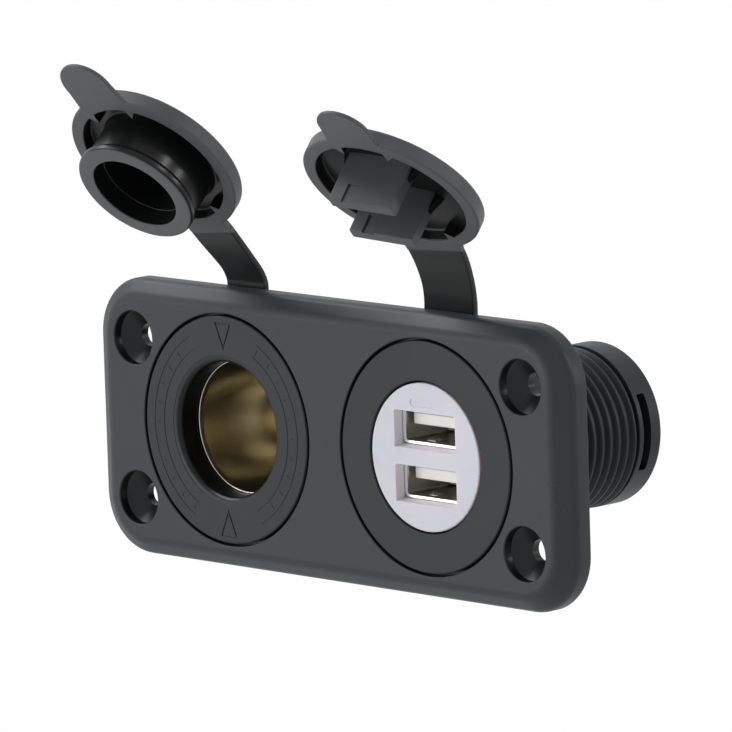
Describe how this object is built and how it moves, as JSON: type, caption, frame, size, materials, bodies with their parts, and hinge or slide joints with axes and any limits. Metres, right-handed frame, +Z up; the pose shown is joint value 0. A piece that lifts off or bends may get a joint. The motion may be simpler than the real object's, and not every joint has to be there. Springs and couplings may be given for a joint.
{
  "type": "panel-mount vehicle power socket",
  "caption": "Rectangular panel with a 12 V outlet and a twin USB insert, a flip-open rubber dust cap on a strap over each, and threaded barrels behind.",
  "frame": {"origin": "middle of the panel's back plane, on the rib between the two sockets", "axes": "+X along the panel towards the USB insert, +Y out of the panel's back, +Z up towards the straps"},
  "size_m": [0.106, 0.0754, 0.0842],
  "materials": {
    "panel_plastic": "satin moulded, charcoal",
    "body_plastic": "satin moulded, charcoal",
    "cap_rubber": "smooth, half gloss",
    "sleeve_metal": "drawn, bronze tint",
    "brass": "pressed",
    "face_plastic": "pale, slightly translucent look",
    "nickel": "plated sheet",
    "tongue_plastic": "moulded, cream",
    "board": "coated circuit board",
    "ferrite": "sintered, dull",
    "guide_plastic": "clear"
  },
  "bodies": {
    "socket": {"mounting_panel": "panel_plastic", "outlet_body": "body_plastic", "outlet_sleeve": "sleeve_metal", "outlet_insulator": "body_plastic", "outlet_centre_contact": "brass", "outlet_terminal_positive": "brass", "outlet_terminal_negative": "brass", "outlet_rear_cover": "body_plastic", "outlet_nut": "body_plastic", "outlet_tether": "cap_rubber", "usb_body": "body_plastic", "usb_face": "face_plastic", "usb_shell_upper": "nickel", "usb_shell_lower": "nickel", "usb_tongue_upper": "tongue_plastic", "usb_tongue_lower": "tongue_plastic", "usb_board": "board", "usb_inductor": "ferrite", "usb_capacitor": "nickel", "indicator_light_guide": "guide_plastic", "usb_terminal_positive": "brass", "usb_terminal_negative": "brass", "usb_rear_cover": "body_plastic", "usb_nut": "body_plastic", "usb_tether": "cap_rubber"},
    "outlet_strap_body": {"outlet_strap": "cap_rubber"},
    "outlet_cap_body": {"outlet_cap": "cap_rubber"},
    "usb_strap_body": {"usb_strap": "cap_rubber"},
    "usb_cap_body": {"usb_cap": "cap_rubber"}
  },
  "joints": [
    {"name": "outlet_strap_root", "type": "hinge", "parent": "socket", "child": "outlet_strap_body", "pos_m": [-0.02245, 0.0007, 0.024], "axis": [0.9973, 0.0244, 0.0697], "range_deg": [0, 103.2], "stiffness_Nm_per_rad": 0.03},
    {"name": "outlet_strap_end", "type": "hinge", "parent": "outlet_strap_body", "child": "outlet_cap_body", "pos_m": [-0.02362, -0.00573, 0.03241], "axis": [0.9951, 0.0367, 0.0918], "range_deg": [0, 36.91], "stiffness_Nm_per_rad": 0.03},
    {"name": "usb_strap_root", "type": "hinge", "parent": "socket", "child": "usb_strap_body", "pos_m": [0.02245, 0.0007, 0.0242], "axis": [0.9872, 0.1212, -0.1038], "range_deg": [0, 110.7], "stiffness_Nm_per_rad": 0.03},
    {"name": "usb_strap_end", "type": "hinge", "parent": "usb_strap_body", "child": "usb_cap_body", "pos_m": [0.02413, -0.00465, 0.03344], "axis": [0.9968, 0.0649, 0.0458], "range_deg": [0, 22.01], "stiffness_Nm_per_rad": 0.03}
  ],
  "couplings": [
    {"joint": "outlet_strap_end", "follows": "outlet_strap_root", "ratio": 0.35756},
    {"joint": "usb_strap_end", "follows": "usb_strap_root", "ratio": 0.19873}
  ]
}
